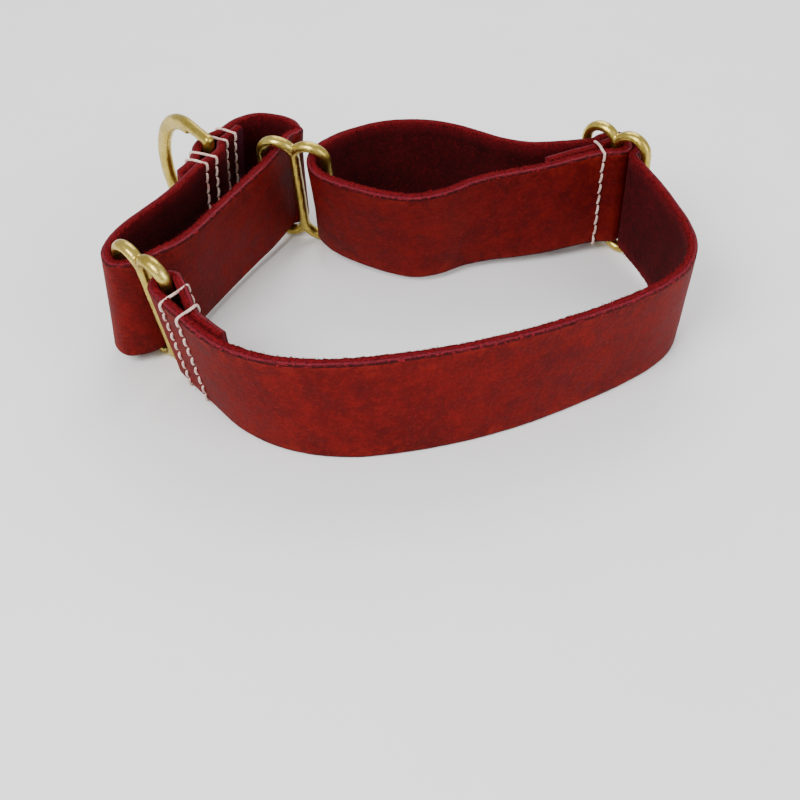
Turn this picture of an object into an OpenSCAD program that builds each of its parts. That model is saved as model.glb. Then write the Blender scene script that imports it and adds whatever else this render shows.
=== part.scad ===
/* [Leather] */
// Width of both leather straps
strap_w = 38; // [36:0.5:40]
// Thickness of the leather
strap_t = 3.4; // [3:0.1:3.6]
// Chamfer along the leather's long edges
edge_c = 0.5; // [0.2:0.1:0.8]

/* [Brass links and slide] */
// Outer height of a link, along its bars
link_h = 50; // [48:0.5:52]
// Outer width of a link, across its three bars
link_w = 27.6; // [27.5:0.1:29]
// Width of the casting's limbs, in the link's plane
limb_w = 3.3; // [3:0.1:3.5]
// Thickness of the casting, through the link's plane
limb_t = 4.2; // [4:0.1:4.4]
// Gap between a bar and the leather folded tightly round it
bar_gap = 0.4; // [0.3:0.05:0.5]

/* [Leash ring] */
// Outer height of the D, along its straight bar
ring_h = 47.4; // [47:0.1:48]
// Length of the straight legs between the bar and the bow
ring_leg = 13; // [12:0.5:17]
// Diameter of the bar and the legs
ring_bar_d = 4.1; // [4:0.1:4.4]
// Width of the bow, in the ring's plane
ring_bow_w = 5.8; // [5:0.1:6.2]

/* [Stitching] */
// Diameter of the waxed thread
thread_d = 0.8; // [0.7:0.05:0.9]
// How far the thread is pulled into the leather
sink = 0.3; // [0.25:0.05:0.4]

/* [Hidden] */
$fn = 48;

leather = [0.56, 0.10, 0.11];
brass = [0.75, 0.65, 0.32];
thread = [0.90, 0.80, 0.76];

// The layout below is drawn about a point that lies here from the collar's middle
middle = [7.6, -9.3, 0];

pitch = (link_w - limb_w) / 2;            // from the centre bar to an outer bar
lobe_r = pitch / 2;                       // centreline radius of a link's round ends
bar_h = link_h - limb_w - 2 * lobe_r;     // straight length of a link's bars
// A limb's section: [thickness, inset] of each step, from its core to its face
link_steps = [[limb_t - 2.3, 0], [limb_t - 1.3, 0.35], [limb_t - 0.4, 0.9], [limb_t, 1.25]];
fold_r = limb_t / 2 + bar_gap + strap_t / 2;   // mid-leather radius of a tight fold

// Places: [middle of the piece, direction in plan, tilt vector of its upright axis]
front_link_at = [[-71.6, -36.4, 24.9], -44, [-0.15, -0.13]];
rear_link_at = [[-29.6, 33.8, 24.9], -16, [-0.05, -0.27]];
slide_at = [[84.5, 34.6, 25], -38, [0, 0]];
ring_at = [[-61.6, 34, 23.7], 128, [0.026, -0.015]];

function unit(v) = v / norm(v);
function heading(a) = [cos(a), sin(a), 0];
function upright(tilt) = unit([tilt[0], tilt[1], 1]);
// The piece's own x, y and z directions
function axes_of(at) =
    let (z = upright(at[2]), h = heading(at[1]), x = unit(h - (h * z) * z))
    [x, cross(z, x), z];
// A point given in the piece's own plan, in millimetres from its middle
function at_point(at, x, y) = at[0] + x * axes_of(at)[0] + y * axes_of(at)[1];

// ---- Routes: each row is a point on the middle of the leather at half its
// width, [x, y, z, tilt x, tilt y], and the tilt is the lean of its upright edge

function row(p, tilt) = [p[0], p[1], p[2], tilt[0], tilt[1]];
// Rows on an arc round a bar that stands x from the middle of a piece
function round_bar(at, x, r, from, to, count, lift = 0) =
    [for (i = [0:count])
        let (a = from + (to - from) * i / count)
        row(at_point(at, x + r * cos(a), r * sin(a)) + [0, 0, lift], at[2])];

// The strap sits this much below the middle of the link it is folded on
sit = -0.8;

fold_flap = [
    [-45.9, -63.6, 20.3, -0.115, -0.13],
    [-49.8, -59.6, 21, -0.14, -0.133],
    [-53.4, -55.6, 21.8, -0.148, -0.132],
    [-57.2, -47.2, 23, -0.145, -0.135]];
front_run = [
    [-62.5, -51.7, 22.8, -0.145, -0.135],
    [-56.6, -58.3, 21.8, -0.148, -0.132],
    [-49.6, -65.4, 20.7, -0.135, -0.133],
    [-42.4, -70.9, 19.6, -0.09, -0.12],
    [-32, -76.3, 19.2, -0.036, -0.09],
    [-20.5, -79.2, 19.2, 0, -0.04],
    [-8, -79.7, 19.2, 0, 0],
    [4, -78.2, 19.2, 0, 0.01],
    [26, -72.9, 19.2, 0, 0.005],
    [48, -64.5, 19.2, 0.01, -0.02],
    [68.3, -54, 19.2, 0.03, -0.053],
    [82, -45.6, 19.2, 0.045, -0.06],
    [91.5, -38.2, 19.2, 0.055, -0.06],
    [98.8, -29.5, 19.2, 0.06, -0.04],
    [102.5, -19, 19.4, 0.056, 0],
    [102.3, -8, 20, 0.03, 0],
    [99.6, 2, 21.2, 0.01, 0],
    [95.6, 12.6, 22.8, 0, 0]];
back_layer = [
    [66, 37.4, 23.6, 0, 0],
    [54, 37.6, 23, 0, 0],
    [44, 41.6, 22.4, 0, 0],
    [36, 46.8, 22.1, 0, 0],
    [27.6, 51.8, 22, 0, 0],
    [18.5, 54.8, 22, 0, 0],
    [9, 55, 22.2, 0, 0],
    [0, 52.7, 22.6, 0, 0],
    [-9, 47.9, 23.2, -0.01, -0.04],
    [-16.2, 42.2, 24, -0.04, -0.12],
    [-21, 36, 24.4, -0.05, -0.2],
    [-22.6, 29.6, 24.2, -0.07, -0.22],
    [-20.8, 23.6, 23.6, -0.1, -0.22]];
near_layer = [
    [-15.2, 18.8, 22.8, -0.11, -0.2],
    [-6.7, 14.2, 22.3, -0.09, -0.19],
    [2.9, 10.4, 21.7, -0.056, -0.184],
    [12.6, 8.8, 21.3, 0, -0.16],
    [22.1, 11.5, 21.3, 0.06, -0.12],
    [30.8, 16.6, 21.6, 0.045, -0.104],
    [39.8, 19.7, 22, 0.017, -0.087],
    [49.8, 21.6, 22.5, 0.013, -0.058],
    [60.7, 24.2, 23.1, 0.01, -0.03],
    [70, 27.3, 23.7, 0, -0.01],
    [78.8, 30.2, 24, 0, 0]];
slide_tail = [
    [77.6, 35, 24, 0, 0],
    [73.1, 32.5, 24, 0, 0],
    [68.6, 31, 23.7, 0, -0.01],
    [60, 27.9, 23.1, 0.01, -0.03]];

// How far the passing strap keeps from the slide's bars, at mid leather
slide_over_r = fold_r + strap_t + 0.3;
slide_under_r = limb_t / 2 + 0.5 + strap_t / 2;
cross_a = 78;

function main_route() = concat(
    fold_flap,
    round_bar(front_link_at, pitch, fold_r, 60, 260, 8, sit),
    front_run,
    round_bar(slide_at, pitch, slide_under_r, -122, -90 - cross_a, 2, sit),
    round_bar(slide_at, 0, slide_over_r, 90 - cross_a, 90 + cross_a, 6, sit),
    round_bar(slide_at, -pitch, slide_under_r, -90 + cross_a, -51, 2, sit),
    back_layer,
    near_layer,
    round_bar(slide_at, 0, fold_r, -34, 173, 8, sit),
    slide_tail);

loop_route = [
    [-52.4, 49.2, 23.7, 0.03, -0.016],
    [-54.9, 44.3, 23.7, 0.026, -0.015],
    [-57.5, 39, 23.7, 0.026, -0.015],
    [-57.5, 32.8, 23.7, 0.026, -0.015],
    [-60.1, 27.8, 23.7, 0.026, -0.015],
    [-63, 23.5, 23.7, 0.026, -0.015],
    [-66.3, 17.2, 23.4, 0.03, -0.02],
    [-69.8, 10.2, 23, 0.03, -0.02],
    [-74, 3.4, 22.5, 0.03, -0.02],
    [-79.3, -4.2, 22.2, 0.03, -0.02],
    [-84.2, -12.4, 22.2, 0.03, -0.01],
    [-87.3, -21, 22.4, 0.03, 0],
    [-87.6, -29.6, 22.8, 0.02, 0],
    [-83.9, -35, 23.1, 0, -0.02],
    [-77, -34.2, 23.4, 0, -0.03],
    [-71.6, -29.4, 23.5, 0.01, -0.03],
    [-66.6, -24, 23, 0.03, -0.03],
    [-62.2, -16.6, 22.6, 0.055, -0.03],
    [-55, -1, 22.2, 0.055, -0.03],
    [-45.6, 17.2, 22.6, 0.05, -0.035],
    [-40, 27, 23.4, 0.04, -0.04],
    [-36.2, 34.6, 24.3, 0.03, -0.04],
    [-33.6, 41, 24.6, 0, -0.05],
    [-30.2, 46, 23.9, -0.03, -0.04],
    [-31.4, 52, 23.4, -0.03, -0.03],
    [-37.4, 57.4, 22.8, 0, -0.03],
    [-46, 58.8, 22.9, 0.02, -0.02],
    [-53.2, 54, 23.4, 0.03, -0.016],
    [-58.3, 46.1, 23.7, 0.026, -0.015],
    [-63.5, 41.2, 23.7, 0.026, -0.015],
    [-65.8, 35.3, 23.7, 0.026, -0.015],
    [-65.7, 29.8, 23.7, 0.026, -0.015],
    [-66.6, 24.9, 23.7, 0.03, -0.02],
    [-69.4, 19.6, 23.4, 0.03, -0.02]];

// ---- A smooth curve through the rows, spaced by their distances

function flat3(p) = [p[0], p[1], p[2]];
function step_of(p, q) = max(sqrt(norm(flat3(q) - flat3(p))), 0.01);
function mix(p, q, a, b, t) = p * (b - t) / (b - a) + q * (t - a) / (b - a);
function spline(p0, p1, p2, p3, u) =
    let (t1 = step_of(p0, p1), t2 = t1 + step_of(p1, p2), t3 = t2 + step_of(p2, p3),
         t = t1 + (t2 - t1) * u,
         a1 = mix(p0, p1, 0, t1, t), a2 = mix(p1, p2, t1, t2, t), a3 = mix(p2, p3, t2, t3, t),
         b1 = mix(a1, a2, 0, t2, t), b2 = mix(a2, a3, t1, t3, t))
    mix(b1, b2, t1, t2, t);
function smooth(rows, spacing) =
    let (n = len(rows), all = concat([2 * rows[0] - rows[1]], rows, [2 * rows[n - 1] - rows[n - 2]]))
    concat(
        [for (i = [0:n - 2])
            let (long = norm(flat3(rows[i + 1] - rows[i])), parts = max(1, round(long / spacing)))
            for (k = [0:parts - 1])
                spline(all[i], all[i + 1], all[i + 2], all[i + 3], k / parts)],
        [rows[n - 1]]);

// ---- A strap: the leather's section carried along a route

section = let (w = strap_w / 2, t = strap_t / 2, c = edge_c)
    [[-t, -w + c], [-t, w - c], [-t + c, w], [t - c, w],
     [t, w - c], [t, -w + c], [t - c, -w], [-t + c, -w]];
function ring(rows, i) =
    let (n = len(rows),
         along = unit(flat3(rows[min(i + 1, n - 1)]) - flat3(rows[max(i - 1, 0)])),
         lean = [rows[i][3], rows[i][4], 1],
         up = unit(lean - (lean * along) * along),
         side = cross(along, up))
    [for (q = section) flat3(rows[i]) + q[0] * side + q[1] * up];
module strap(rows) {
    n = len(rows);
    s = len(section);
    points = [for (i = [0:n - 1]) each ring(rows, i)];
    walls = [for (i = [0:n - 2]) for (k = [0:s - 1])
        let (a = i * s + k, b = i * s + (k + 1) % s)
        each [[a, b + s, b], [a, a + s, b + s]]];
    caps = [[for (k = [0:s - 1]) k], [for (k = [s - 1:-1:0]) (n - 1) * s + k]];
    polyhedron(points = points, faces = concat(walls, caps), convexity = 10);
}

// ---- Placing helpers

module centred() translate(-middle) children();
// Puts a piece, drawn standing upright about its middle, at its place
module placed(at) {
    f = axes_of(at);
    p = at[0];
    centred()
        multmatrix([[f[0][0], f[1][0], f[2][0], p[0]],
                    [f[0][1], f[1][1], f[2][1], p[1]],
                    [f[0][2], f[1][2], f[2][2], p[2]],
                    [0, 0, 0, 1]])
            children();
}

// ---- Brass

// A rectangle with both ends round, about a bar_h long straight part
module stadium(x, r) {
    translate([x, 0]) {
        square([2 * r, bar_h], center = true);
        for (s = [-1, 1]) translate([0, s * bar_h / 2]) circle(r);
    }
}
// A link's outline, made smaller all round by inset
module link_outline(inset) {
    difference() {
        for (side = [-1, 1]) stadium(side * lobe_r, lobe_r + limb_w / 2 - inset);
        for (side = [-1, 1]) stadium(side * lobe_r, lobe_r - limb_w / 2 + inset);
    }
}
// A link stands in its own x-z plane. Its limbs' section is broken at the edges in steps.
module link() {
    for (step = link_steps)
        rotate([90, 0, 0]) linear_extrude(step[0], center = true) link_outline(step[1]);
}
module front_link() color(brass) placed(front_link_at) link();
module rear_link() color(brass) placed(rear_link_at) link();
module slide() color(brass) placed(slide_at) link();

// The ring stands in its own x-z plane with the bar on its z axis
ring_r = (ring_h - ring_bow_w) / 2;
leg_z = (ring_h - ring_bar_d) / 2;
module d_ring() {
    color(brass) placed(ring_at) {
        cylinder(d = ring_bar_d, h = 2 * leg_z, center = true);
        for (s = [-1, 1]) translate([0, 0, s * leg_z]) {
            sphere(d = ring_bar_d);
            rotate([0, 90, 0]) cylinder(d = ring_bar_d, h = ring_leg);
        }
        translate([ring_leg, 0, 0]) rotate([90, 0, 0]) rotate([0, 0, -90])
            rotate_extrude(angle = 180) translate([ring_r, 0]) {
                square([ring_bow_w - ring_bar_d, ring_bar_d], center = true);
                for (s = [-1, 1]) translate([s * (ring_bow_w - ring_bar_d) / 2, 0])
                    circle(d = ring_bar_d);
            }
    }
}

// ---- Leather

module main_strap() color(leather) centred() strap(smooth(main_route(), 3.5));
module control_loop() color(leather) centred() strap(smooth(loop_route, 3.5));

// ---- Stitching: each line is one thread laid round both layers. Its place is
// given by the mid-height points on the middle of the two layers it sews.

// A rectangle with round corners
module rounded(width, height, r) {
    square([width - 2 * r, height], center = true);
    square([width, height - 2 * r], center = true);
    for (x = [-1, 1]) for (y = [-1, 1])
        translate([x * (width / 2 - r), y * (height / 2 - r)]) circle(r);
}
module stitch_line(layer_a, layer_b) {
    up = unit([(layer_a[3] + layer_b[3]) / 2, (layer_a[4] + layer_b[4]) / 2, 1]);
    gap = flat3(layer_b - layer_a);
    across = unit(gap - (gap * up) * up);
    along = cross(across, up);
    centre = flat3(layer_a + layer_b) / 2;
    wide = norm(gap) + strap_t - 2 * sink;
    high = strap_w - 2 * sink;
    color(thread) centred()
        multmatrix([[across[0], up[0], along[0], centre[0]],
                    [across[1], up[1], along[1], centre[1]],
                    [across[2], up[2], along[2], centre[2]],
                    [0, 0, 0, 1]])
            linear_extrude(thread_d, center = true) difference() {
                rounded(wide + 2 * thread_d, high + 2 * thread_d, thread_d);
                square([wide, high], center = true);
            }
}
module fold_stitch_1() stitch_line(front_run[0], fold_flap[3]);
module fold_stitch_2() stitch_line(front_run[1], fold_flap[2]);
module slide_stitch() stitch_line(near_layer[10], slide_tail[0]);
module ring_stitch_1() stitch_line(loop_route[5], loop_route[32]);
module ring_stitch_2() stitch_line(loop_route[4], loop_route[31]);
module ring_stitch_3() stitch_line(loop_route[2], loop_route[29]);
module ring_stitch_4() stitch_line(loop_route[1], loop_route[28]);

main_strap();
control_loop();
front_link();
rear_link();
slide();
d_ring();
fold_stitch_1();
fold_stitch_2();
slide_stitch();
ring_stitch_1();
ring_stitch_2();
ring_stitch_3();
ring_stitch_4();
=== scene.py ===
"""The looks of the martingale collar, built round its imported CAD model."""

import math
import random

import bpy
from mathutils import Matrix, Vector, noise

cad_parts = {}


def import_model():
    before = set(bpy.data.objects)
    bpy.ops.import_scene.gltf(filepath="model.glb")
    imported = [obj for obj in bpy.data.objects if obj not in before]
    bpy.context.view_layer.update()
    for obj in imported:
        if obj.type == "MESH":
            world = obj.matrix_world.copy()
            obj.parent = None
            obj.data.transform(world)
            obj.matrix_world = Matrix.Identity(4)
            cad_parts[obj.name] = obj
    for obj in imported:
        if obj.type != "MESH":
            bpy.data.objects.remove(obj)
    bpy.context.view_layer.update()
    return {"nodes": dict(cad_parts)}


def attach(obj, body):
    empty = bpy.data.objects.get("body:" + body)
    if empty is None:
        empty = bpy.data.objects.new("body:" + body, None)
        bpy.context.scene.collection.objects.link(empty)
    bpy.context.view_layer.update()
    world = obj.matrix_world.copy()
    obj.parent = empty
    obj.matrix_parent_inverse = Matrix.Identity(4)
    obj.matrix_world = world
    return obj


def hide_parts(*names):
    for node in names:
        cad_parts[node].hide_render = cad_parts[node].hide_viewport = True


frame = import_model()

SEED = 11
draw = random.Random(SEED)

# ---- Sizes in millimetres, as in the part's own layout

MM = 0.001
MIDDLE = Vector((7.6, -9.3, 0))
STRAP_W = 38
STRAP_T = 3.4
LINK_W = 27.6
LIMB_W = 3.3
LIMB_T = 4.2
BAR_GAP = 0.4
THREAD_R = 0.48
SIT = -0.8
CROSS_A = 78
PITCH = (LINK_W - LIMB_W) / 2
FOLD_R = LIMB_T / 2 + BAR_GAP + STRAP_T / 2
SLIDE_OVER_R = FOLD_R + STRAP_T + 0.3
SLIDE_UNDER_R = LIMB_T / 2 + 0.5 + STRAP_T / 2

# Places: (middle of the piece, direction in plan, tilt of its upright axis)
FRONT_LINK_AT = ((-71.6, -36.4, 24.9), -44, (-0.15, -0.13))
SLIDE_AT = ((84.5, 34.6, 25), -38, (0, 0))

# Routes: each row is a point on the middle of the leather and its edge's lean
FOLD_FLAP = [
    (-45.9, -63.6, 20.3, -0.115, -0.13),
    (-49.8, -59.6, 21, -0.14, -0.133),
    (-53.4, -55.6, 21.8, -0.148, -0.132),
    (-57.2, -47.2, 23, -0.145, -0.135)]
FRONT_RUN = [
    (-62.5, -51.7, 22.8, -0.145, -0.135),
    (-56.6, -58.3, 21.8, -0.148, -0.132),
    (-49.6, -65.4, 20.7, -0.135, -0.133),
    (-42.4, -70.9, 19.6, -0.09, -0.12),
    (-32, -76.3, 19.2, -0.036, -0.09),
    (-20.5, -79.2, 19.2, 0, -0.04),
    (-8, -79.7, 19.2, 0, 0),
    (4, -78.2, 19.2, 0, 0.01),
    (26, -72.9, 19.2, 0, 0.005),
    (48, -64.5, 19.2, 0.01, -0.02),
    (68.3, -54, 19.2, 0.03, -0.053),
    (82, -45.6, 19.2, 0.045, -0.06),
    (91.5, -38.2, 19.2, 0.055, -0.06),
    (98.8, -29.5, 19.2, 0.06, -0.04),
    (102.5, -19, 19.4, 0.056, 0),
    (102.3, -8, 20, 0.03, 0),
    (99.6, 2, 21.2, 0.01, 0),
    (95.6, 12.6, 22.8, 0, 0)]
BACK_LAYER = [
    (66, 37.4, 23.6, 0, 0),
    (54, 37.6, 23, 0, 0),
    (44, 41.6, 22.4, 0, 0),
    (36, 46.8, 22.1, 0, 0),
    (27.6, 51.8, 22, 0, 0),
    (18.5, 54.8, 22, 0, 0),
    (9, 55, 22.2, 0, 0),
    (0, 52.7, 22.6, 0, 0),
    (-9, 47.9, 23.2, -0.01, -0.04),
    (-16.2, 42.2, 24, -0.04, -0.12),
    (-21, 36, 24.4, -0.05, -0.2),
    (-22.6, 29.6, 24.2, -0.07, -0.22),
    (-20.8, 23.6, 23.6, -0.1, -0.22)]
NEAR_LAYER = [
    (-15.2, 18.8, 22.8, -0.11, -0.2),
    (-6.7, 14.2, 22.3, -0.09, -0.19),
    (2.9, 10.4, 21.7, -0.056, -0.184),
    (12.6, 8.8, 21.3, 0, -0.16),
    (22.1, 11.5, 21.3, 0.06, -0.12),
    (30.8, 16.6, 21.6, 0.045, -0.104),
    (39.8, 19.7, 22, 0.017, -0.087),
    (49.8, 21.6, 22.5, 0.013, -0.058),
    (60.7, 24.2, 23.1, 0.01, -0.03),
    (70, 27.3, 23.7, 0, -0.01),
    (78.8, 30.2, 24, 0, 0)]
SLIDE_TAIL = [
    (77.6, 35, 24, 0, 0),
    (73.1, 32.5, 24, 0, 0),
    (68.6, 31, 23.7, 0, -0.01),
    (60, 27.9, 23.1, 0.01, -0.03)]
LOOP_ROUTE = [
    (-52.4, 49.2, 23.7, 0.03, -0.016),
    (-54.9, 44.3, 23.7, 0.026, -0.015),
    (-57.5, 39, 23.7, 0.026, -0.015),
    (-57.5, 32.8, 23.7, 0.026, -0.015),
    (-60.1, 27.8, 23.7, 0.026, -0.015),
    (-63, 23.5, 23.7, 0.026, -0.015),
    (-66.3, 17.2, 23.4, 0.03, -0.02),
    (-69.8, 10.2, 23, 0.03, -0.02),
    (-74, 3.4, 22.5, 0.03, -0.02),
    (-79.3, -4.2, 22.2, 0.03, -0.02),
    (-84.2, -12.4, 22.2, 0.03, -0.01),
    (-87.3, -21, 22.4, 0.03, 0),
    (-87.6, -29.6, 22.8, 0.02, 0),
    (-83.9, -35, 23.1, 0, -0.02),
    (-77, -34.2, 23.4, 0, -0.03),
    (-71.6, -29.4, 23.5, 0.01, -0.03),
    (-66.6, -24, 23, 0.03, -0.03),
    (-62.2, -16.6, 22.6, 0.055, -0.03),
    (-55, -1, 22.2, 0.055, -0.03),
    (-45.6, 17.2, 22.6, 0.05, -0.035),
    (-40, 27, 23.4, 0.04, -0.04),
    (-36.2, 34.6, 24.3, 0.03, -0.04),
    (-33.6, 41, 24.6, 0, -0.05),
    (-30.2, 46, 23.9, -0.03, -0.04),
    (-31.4, 52, 23.4, -0.03, -0.03),
    (-37.4, 57.4, 22.8, 0, -0.03),
    (-46, 58.8, 22.9, 0.02, -0.02),
    (-53.2, 54, 23.4, 0.03, -0.016),
    (-58.3, 46.1, 23.7, 0.026, -0.015),
    (-63.5, 41.2, 23.7, 0.026, -0.015),
    (-65.8, 35.3, 23.7, 0.026, -0.015),
    (-65.7, 29.8, 23.7, 0.026, -0.015),
    (-66.6, 24.9, 23.7, 0.03, -0.02),
    (-69.4, 19.6, 23.4, 0.03, -0.02)]

# Stitch lines: node, and the rows of the two layers that it sews
FOLD_LINES = [
    ("fold_stitch_1", FRONT_RUN[0], FOLD_FLAP[3]),
    ("fold_stitch_2", FRONT_RUN[1], FOLD_FLAP[2]),
    ("slide_stitch", NEAR_LAYER[10], SLIDE_TAIL[0])]
RING_LINES = [
    ("ring_stitch_1", LOOP_ROUTE[5], LOOP_ROUTE[32]),
    ("ring_stitch_2", LOOP_ROUTE[4], LOOP_ROUTE[31]),
    ("ring_stitch_3", LOOP_ROUTE[2], LOOP_ROUTE[29]),
    ("ring_stitch_4", LOOP_ROUTE[1], LOOP_ROUTE[28])]
# How high a wrap's thread runs over the leather's edge
FREE_CROWN = 0.55
LOW_CROWN = 0.14  # under the leash ring's legs
HOLE_COUNT = 8
HOLE_PITCH = 4.45
SUNK = 0.75  # how deep in its hole a stitch ends
HOLES = [(k - (HOLE_COUNT - 1) / 2) * HOLE_PITCH for k in range(HOLE_COUNT)]


# ---- Routes

def place(p):
    """A layout point in millimetres, in the frame in metres."""
    return (Vector(p[:3]) - MIDDLE) * MM


def axes_of(at):
    up = Vector((at[2][0], at[2][1], 1)).normalized()
    turn = math.radians(at[1])
    flat = Vector((math.cos(turn), math.sin(turn), 0))
    x = (flat - flat.dot(up) * up).normalized()
    return x, up.cross(x), up


def round_bar(at, x, r, first, last, count, lift=SIT):
    """Rows on an arc round a bar that stands x from the middle of a piece."""
    ax, ay, _ = axes_of(at)
    rows = []
    for i in range(count + 1):
        a = math.radians(first + (last - first) * i / count)
        p = Vector(at[0]) + (x + r * math.cos(a)) * ax + r * math.sin(a) * ay
        rows.append((p.x, p.y, p.z + lift, *at[2]))
    return rows


def main_route():
    return [
        *FOLD_FLAP,
        *round_bar(FRONT_LINK_AT, PITCH, FOLD_R, 60, 260, 8),
        *FRONT_RUN,
        *round_bar(SLIDE_AT, PITCH, SLIDE_UNDER_R, -122, -90 - CROSS_A, 2),
        *round_bar(SLIDE_AT, 0, SLIDE_OVER_R, 90 - CROSS_A, 90 + CROSS_A, 6),
        *round_bar(SLIDE_AT, -PITCH, SLIDE_UNDER_R, -90 + CROSS_A, -51, 2),
        *BACK_LAYER,
        *NEAR_LAYER,
        *round_bar(SLIDE_AT, 0, FOLD_R, -34, 173, 8),
        *SLIDE_TAIL]


def mix(p, q, a, b, t):
    return [x * (b - t) / (b - a) + y * (t - a) / (b - a) for x, y in zip(p, q)]


def spline(p0, p1, p2, p3, u):
    """A point between p1 and p2 of the smooth curve through the four rows."""
    def step(p, q):
        return max(math.sqrt(math.dist(p[:3], q[:3])), 0.01)
    t1 = step(p0, p1)
    t2 = t1 + step(p1, p2)
    t3 = t2 + step(p2, p3)
    t = t1 + (t2 - t1) * u
    a1 = mix(p0, p1, 0, t1, t)
    a2 = mix(p1, p2, t1, t2, t)
    a3 = mix(p2, p3, t2, t3, t)
    return mix(mix(a1, a2, 0, t2, t), mix(a2, a3, t1, t3, t), t1, t2, t)


class Route:
    """A strap's middle line: its rings, their distances along it and their directions."""

    def __init__(self, rows, spacing):
        before = [2 * a - b for a, b in zip(rows[0], rows[1])]
        after = [2 * a - b for a, b in zip(rows[-1], rows[-2])]
        chain = [before, *rows, after]
        self.rows = []
        for i in range(len(rows) - 1):
            parts = max(1, round(math.dist(rows[i][:3], rows[i + 1][:3]) / spacing))
            for k in range(parts):
                self.rows.append(spline(*chain[i:i + 4], k / parts))
        self.rows.append(list(rows[-1]))
        self.at = [0.0]
        for p, q in zip(self.rows, self.rows[1:]):
            self.at.append(self.at[-1] + math.dist(p[:3], q[:3]))
        self.length = self.at[-1]
        self.frames = [self.frame(i) for i in range(len(self.rows))]

    def frame(self, i):
        """Point, side (towards the grain) and up directions of a ring, in millimetres."""
        last = len(self.rows) - 1
        ahead, behind = self.rows[min(i + 1, last)], self.rows[max(i - 1, 0)]
        along = (Vector(ahead[:3]) - Vector(behind[:3])).normalized()
        lean = Vector((self.rows[i][3], self.rows[i][4], 1))
        up = (lean - lean.dot(along) * along).normalized()
        return Vector(self.rows[i][:3]), along, along.cross(up), up

    def near(self, row):
        """The distance along the route of the ring nearest to a row."""
        k = min(range(len(self.rows)), key=lambda i: math.dist(self.rows[i][:3], row[:3]))
        return self.at[k]


# ---- Mesh helpers

def mesh_object(name, points, faces, body, slot, materials, zones=None, **values):
    """A piece from points in millimetres of the layout. values are point attributes."""
    mesh = bpy.data.meshes.new(name)
    mesh.from_pydata([place(p) for p in points], [], faces)
    for m in materials:
        mesh.materials.append(m)
    if zones:
        mesh.polygons.foreach_set("material_index", zones)
    mesh.polygons.foreach_set("use_smooth", [True] * len(faces))
    for key, data in values.items():
        kind = "FLOAT_VECTOR" if isinstance(data[0], tuple) else "FLOAT"
        layer = mesh.attributes.new(key, kind, "POINT")
        if kind == "FLOAT_VECTOR":
            layer.data.foreach_set("vector", [x for v in data for x in v])
        else:
            layer.data.foreach_set("value", data)
    mesh.update()
    piece = bpy.data.objects.new(name, mesh)
    bpy.context.scene.collection.objects.link(piece)
    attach(piece, body)
    return piece


def above_floor(p):
    return Vector((p.x, p.y, max(p.z, 0.0)))


def wander(x, y, z, seed=0.0):
    return noise.noise(Vector((x + seed, y - seed, z + 2 * seed)))


# ---- Materials

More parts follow.
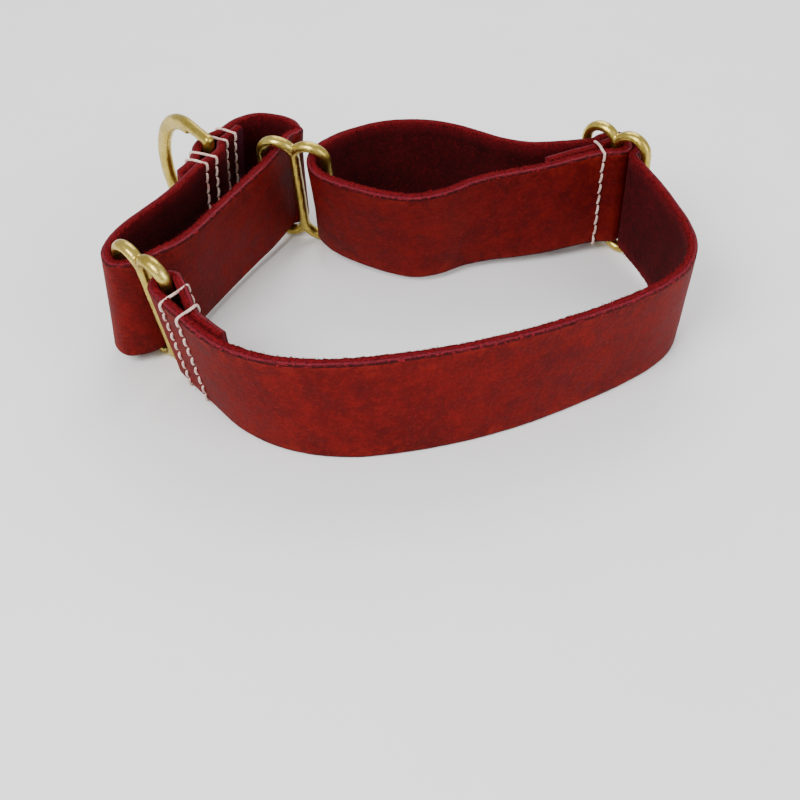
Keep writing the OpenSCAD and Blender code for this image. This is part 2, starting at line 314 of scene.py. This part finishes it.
class Graph:
    """A material's node tree, with one method for each kind of node used."""

    def __init__(self, name, **constants):
        self.material = bpy.data.materials.new(name)
        self.material.use_nodes = True
        self.nodes = self.material.node_tree.nodes
        self.links = self.material.node_tree.links
        self.shader = self.nodes["Principled BSDF"]
        for key, value in constants.items():
            self.shader.inputs[key.replace("_", " ")].default_value = value

    def plug(self, socket, value):
        if isinstance(value, bpy.types.NodeSocket):
            self.links.new(value, socket)
        else:
            socket.default_value = value

    def attribute(self, name, output):
        node = self.nodes.new("ShaderNodeAttribute")
        node.attribute_name = name
        return node.outputs[output]

    def stretch(self, vector, scale):
        node = self.nodes.new("ShaderNodeMapping")
        self.plug(node.inputs["Vector"], vector)
        node.inputs["Scale"].default_value = scale
        return node.outputs["Vector"]

    def object_place(self):
        return self.nodes.new("ShaderNodeTexCoord").outputs["Object"]

    def noise(self, vector, scale, detail=3, roughness=0.55, distortion=0.0):
        node = self.nodes.new("ShaderNodeTexNoise")
        self.plug(node.inputs["Vector"], vector)
        node.inputs["Scale"].default_value = scale
        node.inputs["Detail"].default_value = detail
        node.inputs["Roughness"].default_value = roughness
        node.inputs["Distortion"].default_value = distortion
        return node.outputs["Fac"]

    def cells(self, vector, scale, feature="F1"):
        node = self.nodes.new("ShaderNodeTexVoronoi")
        node.feature = feature
        self.plug(node.inputs["Vector"], vector)
        node.inputs["Scale"].default_value = scale
        return node.outputs["Distance"]

    def math(self, operation, a, b=0.5):
        node = self.nodes.new("ShaderNodeMath")
        node.operation = operation
        node.use_clamp = True
        self.plug(node.inputs[0], a)
        self.plug(node.inputs[1], b)
        return node.outputs[0]

    def ramp(self, value, *stops):
        node = self.nodes.new("ShaderNodeValToRGB")
        self.plug(node.inputs["Fac"], value)
        while len(node.color_ramp.elements) < len(stops):
            node.color_ramp.elements.new(0.5)
        for element, (position, colour) in zip(node.color_ramp.elements, stops):
            element.position = position
            element.color = (*colour, 1)
        return node.outputs["Color"]

    def span(self, value, low, high, to_low=0.0, to_high=1.0):
        node = self.nodes.new("ShaderNodeMapRange")
        self.plug(node.inputs["Value"], value)
        for key, number in zip(("From Min", "From Max", "To Min", "To Max"), (low, high, to_low, to_high)):
            node.inputs[key].default_value = number
        return node.outputs["Result"]

    def blend(self, factor, a, b):
        node = self.nodes.new("ShaderNodeMix")
        node.data_type = "RGBA"
        self.plug(node.inputs["Factor"], factor)
        for socket, value in ((node.inputs[6], a), (node.inputs[7], b)):
            self.plug(socket, value if isinstance(value, bpy.types.NodeSocket) else (*value, 1))
        return node.outputs[2]

    def bump(self, height, distance, normal=None, strength=1.0):
        node = self.nodes.new("ShaderNodeBump")
        node.inputs["Strength"].default_value = strength
        node.inputs["Distance"].default_value = distance
        self.plug(node.inputs["Height"], height)
        if normal is not None:
            self.plug(node.inputs["Normal"], normal)
        return node.outputs["Normal"]

    def finish(self, colour=None, roughness=None, normal=None):
        for key, value in (("Base Color", colour), ("Roughness", roughness), ("Normal", normal)):
            if value is not None:
                self.plug(self.shader.inputs[key], value)
        return self.material


def leather_grain():
    g = Graph("leather_grain", Specular_IOR_Level=0.09)
    lay = g.attribute("lay", "Vector")
    rim = g.attribute("rim", "Fac")
    clouds = g.noise(lay, 38, 3)
    mottle = g.noise(lay, 190, 6, 0.62, 0.4)
    specks = g.noise(lay, 1500, 3, 0.6)
    drawn = g.noise(g.stretch(lay, (1, 6, 1)), 260, 4)
    tone = g.math("ADD", g.math("MULTIPLY", clouds, 0.45), g.math("MULTIPLY", mottle, 0.55))
    red = g.ramp(tone, (0.34, (0.060, 0.0008, 0.0010)), (0.5, (0.100, 0.0016, 0.0017)),
                 (0.66, (0.142, 0.0038, 0.0028)))
    warm = g.math("MULTIPLY", g.span(mottle, 0.45, 0.68), g.span(rim, 0.1, 1, 0.12, 0.75))
    red = g.blend(warm, red, (0.195, 0.0120, 0.0070))
    red = g.blend(g.span(drawn, 0.60, 0.78, 0, 0.35), red, (0.18, 0.0100, 0.0072))
    fine = g.noise(lay, 820, 5, 0.75)
    red = g.blend(g.span(fine, 0.50, 0.70, 0, 0.50), red, (0.200, 0.0095, 0.0062))
    red = g.blend(g.span(fine, 0.50, 0.32, 0, 0.50), red, (0.060, 0.0010, 0.0012))
    red = g.blend(g.span(specks, 0.63, 0.74, 0, 0.55), red, (0.042, 0.0015, 0.002))
    # Darker where the thread sits: partly the pressed leather's own colour, partly painted shade in the
    # stitch holes and under the thread.
    red = g.blend(g.span(g.attribute("press", "Fac"), 0, 1, 0, 0.6), red, (0.045, 0.0015, 0.0025))
    pores = g.cells(lay, 1150)
    creases = g.cells(g.stretch(lay, (0.7, 1, 1)), 420, "SMOOTH_F1")
    normal = g.bump(creases, 0.00012, strength=0.35)
    normal = g.bump(pores, 0.00009, normal, 0.55)
    normal = g.bump(fine, 0.00022, normal, 0.8)
    rough = g.span(g.math("ADD", mottle, g.math("MULTIPLY", specks, 0.3)), 0.3, 0.9, 0.52, 0.74)
    return g.finish(red, rough, normal)


def leather_flesh():
    g = Graph("leather_flesh", Specular_IOR_Level=0.08, Sheen_Weight=0.05, Sheen_Roughness=0.5)
    g.shader.inputs["Sheen Tint"].default_value = (0.8, 0.12, 0.16, 1)
    lay = g.attribute("lay", "Vector")
    rim = g.attribute("rim", "Fac")
    nap = g.noise(lay, 950, 5, 0.75)
    clouds = g.noise(lay, 90, 4)
    strands = g.noise(g.stretch(lay, (1, 3.5, 1)), 700, 4, 0.65, 0.5)
    dark = g.ramp(g.math("ADD", g.math("MULTIPLY", nap, 0.5), g.math("MULTIPLY", clouds, 0.5)),
                  (0.36, (0.018, 0.0007, 0.0012)), (0.62, (0.048, 0.0018, 0.0029)))
    bright = g.blend(g.span(strands, 0.42, 0.62), (0.062, 0.0022, 0.004), (0.155, 0.005, 0.0085))
    near_rim = g.math("MULTIPLY", g.span(rim, 0.35, 0.95), g.span(clouds, 0.3, 0.6, 0.5, 1))
    colour = g.blend(near_rim, dark, bright)
    colour = g.blend(g.span(nap, 0.53, 0.66, 0, 0.6), colour, (0.120, 0.0035, 0.0050))
    colour = g.blend(g.attribute("skived", "Fac"), colour, (0.055, 0.008, 0.018))
    normal = g.bump(nap, 0.0005, strength=1.0)
    normal = g.bump(strands, 0.0003, normal, 0.6)
    return g.finish(colour, g.span(nap, 0.3, 0.7, 0.82, 0.98), normal)


def leather_edge():
    g = Graph("leather_edge", Specular_IOR_Level=0.1)
    lay = g.attribute("lay", "Vector")
    depth = g.attribute("depth", "Fac")
    fibre = g.noise(g.stretch(lay, (1, 1, 1.6)), 1000, 4, 0.75)
    patch = g.noise(lay, 170, 4)
    level = g.math("ADD", depth, g.span(fibre, 0.3, 0.7, -0.07, 0.07))
    level = g.math("ADD", level, g.span(patch, 0.3, 0.7, -0.06, 0.06))
    colour = g.ramp(level, (0.10, (0.12, 0.0035, 0.006)), (0.42, (0.21, 0.0060, 0.010)),
                    (0.60, (0.115, 0.0050, 0.011)), (0.78, (0.150, 0.0110, 0.021)),
                    (0.90, (0.080, 0.0032, 0.006)), (0.97, (0.030, 0.001, 0.0018)))
    colour = g.blend(g.span(fibre, 0.51, 0.62, 0, 0.7), colour, (0.022, 0.0006, 0.0010))
    colour = g.blend(g.span(fibre, 0.45, 0.36, 0, 0.8), colour, (0.30, 0.0090, 0.016))
    rough = g.span(depth, 0.5, 0.75, 0.98, 0.62)
    fuzzy = g.span(depth, 0.45, 0.7, 1, 0.12)
    normal = g.bump(g.math("MULTIPLY", fibre, fuzzy), 0.0014, strength=1.0)
    return g.finish(colour, rough, normal)


def leather_fuzz():
    g = Graph("leather_fuzz", Specular_IOR_Level=0.1, Roughness=0.95)
    tint = g.attribute("tint", "Fac")
    return g.finish(g.ramp(tint, (0.0, (0.020, 0.0005, 0.0010)), (0.45, (0.16, 0.004, 0.007)),
                           (1.0, (0.42, 0.014, 0.022))))


def brass():
    g = Graph("cast_brass", Metallic=1.0)
    spot = g.object_place()
    broad = g.noise(spot, 120, 4)
    fine = g.noise(spot, 900, 4, 0.6)
    marks = g.noise(g.stretch(spot, (1, 1, 0.15)), 2600, 3, 0.6)
    tone = g.math("ADD", g.math("MULTIPLY", broad, 0.6), g.math("MULTIPLY", fine, 0.4))
    colour = g.ramp(tone, (0.34, (0.34, 0.235, 0.040)), (0.52, (0.52, 0.39, 0.082)),
                    (0.70, (0.68, 0.54, 0.16)))
    rough = g.span(tone, 0.3, 0.7, 0.40, 0.22)
    normal = g.bump(broad, 0.0004, strength=0.5)
    normal = g.bump(fine, 0.00012, normal, 0.5)
    normal = g.bump(marks, 0.00003, normal, 0.5)
    return g.finish(colour, rough, normal)


def waxed_thread():
    g = Graph("waxed_thread", Specular_IOR_Level=0.4, Sheen_Weight=0.15)
    lay = g.attribute("lay", "Vector")
    twist = g.nodes.new("ShaderNodeTexWave")
    g.plug(twist.inputs["Vector"], lay)
    twist.bands_direction = "DIAGONAL"
    twist.inputs["Scale"].default_value = 520
    stain = g.noise(lay, 260, 4)
    colour = g.ramp(stain, (0.32, (0.50, 0.24, 0.20)), (0.48, (0.74, 0.52, 0.45)), (0.66, (0.86, 0.72, 0.62)))
    # Painted shade: the colour darkens in the grooves between the twist's strands.
    colour = g.blend(g.span(twist.outputs["Fac"], 0.0, 0.35, 0.45, 0), colour, (0.40, 0.17, 0.14))
    normal = g.bump(twist.outputs["Fac"], 0.00018, strength=0.8)
    return g.finish(colour, 0.62, normal)


GRAIN, EDGE, FLESH = 0, 1, 2
LEATHER = [leather_grain(), leather_edge(), leather_flesh()]
FUZZ = leather_fuzz()
BRASS = brass()
THREAD = waxed_thread()

# ---- Leather straps

BEVEL = 0.8
FLESH_ROUND = 0.4
RIM_REACH = 7
SPACING = 0.7


def section():
    """The strap's section as (depth, height, zone of the side that starts there)."""
    t, w = STRAP_T / 2, STRAP_W / 2
    points = []
    faces = 37
    for i in range(faces):
        h = -w + BEVEL + (2 * w - 2 * BEVEL) * i / (faces - 1)
        points.append((t, h, GRAIN))
    points[-1] = (*points[-1][:2], EDGE)
    top = [(t - BEVEL + BEVEL * math.cos(a), w - BEVEL + BEVEL * math.sin(a))
           for a in (math.radians(22.5 * k) for k in (1, 2, 3, 4))]
    top += [(t - BEVEL - 0.5 * k, w) for k in (1, 2, 3)]
    top += [(-t + FLESH_ROUND, w - 0.05), (-t + 0.12, w - 0.15), (-t, w - FLESH_ROUND)]
    points += [(d, h, EDGE) for d, h in top]
    points[-1] = (*points[-1][:2], FLESH)
    inner = 33
    for i in range(1, inner):
        h = w - FLESH_ROUND - (2 * w - 2 * FLESH_ROUND) * i / inner
        points.append((-t, h, FLESH))
    points += [(d, -h, EDGE) for d, h in reversed(top)]
    return points


SECTION = section()


def press_at(lines, s, h, face):
    """How much the thread presses the leather at a place: 1 in a hole, less between holes."""
    most = 0.0
    for line_s, line_face in lines:
        if line_face != face or abs(s - line_s) > 3:
            continue
        near = min(abs(h - hole) for hole in HOLES)
        along = math.exp(-((s - line_s) / 0.75) ** 2)
        most = max(most, along * (0.3 + 0.7 * math.exp(-(near / 0.8) ** 2)))
        if abs(h) > HOLES[-1]:
            most = max(most, 0.55 * along)
    return most


def strap(name, body, route, lines, seed, ragged, skived=0.0):
    """A strap along a route. lines are (distance along it, face) of its stitching."""
    points, lay, rim, depth, press, strip = [], [], [], [], [], []
    for (p, along, side, up), s in zip(route.frames, route.at):
        end = min(s, route.length - s)
        for d, h, _ in SECTION:
            face = 1 if d > 0 else -1
            pushed = press_at(lines, s, h, face) if abs(d) > STRAP_T / 2 - BEVEL else 0.0
            edge = abs(h) > STRAP_W / 2 - BEVEL
            rough = 0.05 if d > 0.4 else 0.13
            shift = rough * wander(s * 0.9, h * 0.9, d, seed) + 0.10 * wander(s * 0.07, h * 0.1, 0, seed + 5)
            lift = 0.0
            if edge:
                lift = 0.10 * wander(s * 0.12, 3, d * 0.2, seed)
                if d < 0.5:
                    lift += ragged * (abs(wander(s * 1.1, h, d * 1.6, seed + 9)) - 0.12)
            q = p + (d + face * (shift - 0.30 * pushed)) * side + (h + math.copysign(lift, h)) * up
            points.append(above_floor(q))
            lay.append((s * MM, h * MM, d * MM))
            rim.append(max(0.0, 1 - (STRAP_W / 2 - abs(h)) / RIM_REACH, 1 - end / RIM_REACH))
            depth.append(d / STRAP_T + 0.5)
            # The grain colour darkens by this amount: partly pressed leather, partly painted shade in the
            # holes and under the thread.
            press.append(pushed)
            strip.append(1.0 if d < 0 and s < skived else 0.0)
    n, count = len(SECTION), len(route.frames)
    faces, zones = [], []
    for i in range(count - 1):
        for k in range(n):
            a, b = i * n + k, i * n + (k + 1) % n
            faces.append((a, a + n, b + n, b))
            zones.append(SECTION[k][2])
    for first, turn in ((0, 1), ((count - 1) * n, -1)):
        ring = [first + k for k in range(n)][::turn]
        faces.append(tuple(ring))
        zones.append(EDGE)
    piece = mesh_object(name + "_leather", points, faces, body, "leather", LEATHER, zones,
                        lay=lay, rim=rim, depth=depth, press=press, skived=strip)
    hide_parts(name)
    return piece


def fuzz(name, body, route, per_mm, reach, seed):
    """Loose fibres along the flesh side's long edges, each one thin blade."""
    pick = random.Random(seed)
    points, faces, tint = [], [], []
    for _ in range(int(route.length * per_mm * 2)):
        i = pick.randrange(1, len(route.frames) - 1)
        p, along, side, up = route.frames[i]
        sign = pick.choice((1, 1, -1))
        d = -STRAP_T / 2 + reach * pick.random() ** 1.2
        root = p + d * side + sign * (STRAP_W / 2 - 0.12) * up + pick.uniform(-0.35, 0.35) * along
        lean = sign * pick.uniform(0.15, 0.9) * up + pick.uniform(-0.9, 0.35) * side
        lean += pick.uniform(-0.9, 0.9) * along
        long = pick.uniform(0.35, 0.95) * (1.4 if pick.random() < 0.06 else 1)
        tip = root + long * lean.normalized()
        across = (lean.cross(side) if pick.random() < 0.5 else lean.cross(along)).normalized()
        wide = pick.uniform(0.09, 0.20)
        k = len(points)
        points += [above_floor(q) for q in (root - wide * across, root + wide * across, tip)]
        faces.append((k, k + 1, k + 2))
        shade = pick.random()
        tint += [shade * 0.7, shade * 0.7, shade]
    return mesh_object(name, points, faces, body, "leather", [FUZZ], tint=tint)


# ---- Stitching

def tube(points, radii, sides=8):
    """Vertices, faces and thread coordinates of a round tube with pointed ends."""
    vertices, faces, lay = [], [], []
    run = 0.0
    reference = None
    for i, (p, r) in enumerate(zip(points, radii)):
        ahead, behind = points[min(i + 1, len(points) - 1)], points[max(i - 1, 0)]
        along = (ahead - behind).normalized()
        if reference is None:
            reference = along.orthogonal()
        u = (reference - reference.dot(along) * along).normalized()
        reference = u
        v = along.cross(u)
        run += (p - points[max(i - 1, 0)]).length
        for k in range(sides):
            a = 2 * math.pi * k / sides
            vertices.append(p + r * (math.cos(a) * u + math.sin(a) * v))
            lay.append((run * MM, r * math.cos(a) * MM, r * math.sin(a) * MM))
    for i in range(len(points) - 1):
        for k in range(sides):
            a, b = i * sides + k, i * sides + (k + 1) % sides
            faces.append((a, b, b + sides, a + sides))
    last = (len(points) - 1) * sides
    faces.append(tuple(range(sides))[::-1])
    faces.append(tuple(last + k for k in range(sides)))
    return vertices, faces, lay


def curve_through(points, parts):
    """A smooth curve through the points, as a list of vectors."""
    rows = [tuple(p) for p in points]
    before = [2 * a - b for a, b in zip(rows[0], rows[1])]
    after = [2 * a - b for a, b in zip(rows[-1], rows[-2])]
    chain = [before, *rows, after]
    out = []
    for i in range(len(rows) - 1):
        out += [Vector(spline(*chain[i:i + 4], k / parts)) for k in range(parts)]
    return [*out, Vector(rows[-1])]


def stitch_line(node, body, row_a, row_b, crown_up):
    """The single stitches of one line: dashes on both faces, and a wrap over each edge."""
    up = Vector(((row_a[3] + row_b[3]) / 2, (row_a[4] + row_b[4]) / 2, 1)).normalized()
    gap = Vector(row_b[:3]) - Vector(row_a[:3])
    across = (gap - gap.dot(up) * up).normalized()
    along = across.cross(up)
    middle = (Vector(row_a[:3]) + Vector(row_b[:3])) / 2
    face = gap.length / 2 + STRAP_T / 2

    def spot(out, shift, high):
        return middle + out * across + shift * along + high * up

    stitches = []
    for sign in (-1, 1):
        for low, high in zip(HOLES, HOLES[1:]):
            slant = 0.28 * sign + draw.uniform(-0.08, 0.08)
            rise = draw.uniform(0.22, 0.34)
            # (height over the leather, share of the way to the next hole)
            marks = [(-SUNK, 0.0), (0.02, 0.12), (rise, 0.32), (rise + 0.05, 0.5),
                     (rise, 0.68), (0.02, 0.88), (-SUNK, 1.0)]
            path = [spot(sign * (face + d), slant * (1 - 2 * u), low + (high - low) * (0.06 + 0.88 * u))
                    for d, u in marks]
            stitches.append((path, THREAD_R * 0.94))
    outer, edge = HOLES[-1], STRAP_W / 2
    for sign in (-1, 1):
        shift = 0.25 * sign
        # (height over the leather, height up the strap) from the last hole to the edge
        arch = [(-SUNK, outer - 0.1), (0.25, outer + 0.9), (0.42, outer + 2.2),
                (0.15, edge + min(0.15, crown_up - 0.2))]
        half = [spot(-(face + d), shift, sign * h) for d, h in arch]
        crown = [spot(u * face, shift * (1 - abs(u)), sign * (edge + crown_up - 0.25 * u * u))
                 for u in (-0.6, 0, 0.6)]
        other = [spot(face + d, -shift, sign * h) for d, h in reversed(arch)]
        stitches.append((half + crown + other, THREAD_R * 1.04))
    points, faces, lay = [], [], []
    for path, radius in stitches:
        line = curve_through(path, 4)
        ends = [radius * min(1, 0.55 + 0.45 * min(i, len(line) - 1 - i) / 5) for i in range(len(line))]
        v, f, l = tube(line, ends)
        k = len(points)
        points += v
        faces += [tuple(i + k for i in face_) for face_ in f]
        start = draw.uniform(0, 0.2)
        lay += [(x + start, y, z) for x, y, z in l]
    piece = mesh_object(node + "_thread", points, faces, body, "thread", [THREAD], lay=lay)
    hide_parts(node)
    return piece


# ---- Brass castings

VOXEL = 0.00042
SMOOTH_PASSES = 9
# How far each casting is grown again after smoothing has shrunk it
SWELL = {"front_link": 0.22, "rear_link": 0.12, "slide": 0.1, "d_ring": 0.08}


def casting(node, seed):
    """The CAD casting with its joins filleted and its faces worn, as a mesh of its own."""
    rough = bpy.data.objects.new("rough", frame["nodes"][node].data.copy())
    bpy.context.scene.collection.objects.link(rough)
    remesh = rough.modifiers.new("remesh", "REMESH")
    remesh.mode = "VOXEL"
    remesh.voxel_size = VOXEL
    soften = rough.modifiers.new("soften", "SMOOTH")
    soften.factor = 0.5
    soften.iterations = SMOOTH_PASSES
    graph = bpy.context.evaluated_depsgraph_get()
    mesh = bpy.data.meshes.new_from_object(rough.evaluated_get(graph))
    bpy.data.objects.remove(rough)
    normals = [v.normal.copy() for v in mesh.vertices]
    for v, n in zip(mesh.vertices, normals):
        q = v.co / MM
        worn = 0.10 * wander(q.x * 0.22, q.y * 0.22, q.z * 0.22, seed) + 0.03 * wander(q.x, q.y, q.z, seed)
        v.co += (SWELL[node] + worn) * MM * n
    mesh.materials.clear()
    mesh.materials.append(BRASS)
    mesh.polygons.foreach_set("use_smooth", [True] * len(mesh.polygons))
    piece = bpy.data.objects.new(node + "_casting", mesh)
    bpy.context.scene.collection.objects.link(piece)
    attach(piece, node)
    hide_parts(node)
    return piece


# ---- Build

main = Route(main_route(), SPACING)
loop = Route(LOOP_ROUTE, SPACING)

main_lines = [(main.near(row), 1) for line in FOLD_LINES for row in line[1:]]
loop_lines = [(loop.near(a), -1) for _, a, _ in RING_LINES] + [(loop.near(b), 1) for _, _, b in RING_LINES]
SKIVED_END = 4.6

strap("main_strap", "strap", main, main_lines, 1.7, 1.15)
strap("control_loop", "loop", loop, loop_lines, 4.3, 0.6, SKIVED_END)
fuzz("main_strap_fuzz", "strap", main, 11, 2.3, 21)
fuzz("control_loop_fuzz", "loop", loop, 8, 1.6, 22)
for node, a, b in FOLD_LINES:
    stitch_line(node, "strap", a, b, FREE_CROWN)
for node, a, b in RING_LINES:
    stitch_line(node, "loop", a, b, LOW_CROWN)
for seed, node in enumerate(SWELL):
    casting(node, 3.1 * seed)


# ---- Stage, light and camera

def floor():
    size = 4.0
    mesh = bpy.data.meshes.new("floor")
    corners = [(-size, -size, 0), (size, -size, 0), (size, size, 0), (-size, size, 0)]
    mesh.from_pydata(corners, [], [(0, 1, 2, 3)])
    g = Graph("pale_floor", Roughness=0.7, Specular_IOR_Level=0.2)
    grain = g.noise(g.object_place(), 30, 3)
    mesh.materials.append(g.finish(g.ramp(grain, (0.3, (0.95, 0.95, 0.95)), (0.7, (0.97, 0.97, 0.97)))))
    plane = bpy.data.objects.new("floor", mesh)
    bpy.context.scene.collection.objects.link(plane)


def light(name, position, target, size, power):
    lamp = bpy.data.lights.new(name, "AREA")
    lamp.size = size
    lamp.energy = power
    lamp_object = bpy.data.objects.new(name, lamp)
    lamp_object.location = position
    lamp_object.rotation_euler = (Vector(target) - Vector(position)).to_track_quat("-Z", "Y").to_euler()
    bpy.context.scene.collection.objects.link(lamp_object)


def world():
    sky = bpy.data.worlds.new("studio")
    sky.use_nodes = True
    sky.node_tree.nodes["Background"].inputs["Color"].default_value = (1, 1, 1, 1)
    sky.node_tree.nodes["Background"].inputs["Strength"].default_value = 0.75
    bpy.context.scene.world = sky


floor()
world()
light("key", (-0.45, -0.55, 0.75), (0, 0, 0.02), 0.5, 10)
light("fill", (0.7, -0.45, 0.45), (0, 0, 0.02), 0.6, 4)
light("back", (0.1, 0.7, 0.7), (0, 0, 0.02), 0.6, 5)

CAMERA_AT = (-0.416, -362.883, 284.272)
CAMERA_PITCH = 48.229
lens = bpy.data.cameras.new("camera")
lens.lens = 58.5
lens.sensor_width = 36
camera = bpy.data.objects.new("camera", lens)
camera.location = Vector(CAMERA_AT) * MM
camera.rotation_euler = (math.radians(CAMERA_PITCH), 0, 0)
bpy.context.scene.collection.objects.link(camera)
bpy.context.scene.camera = camera
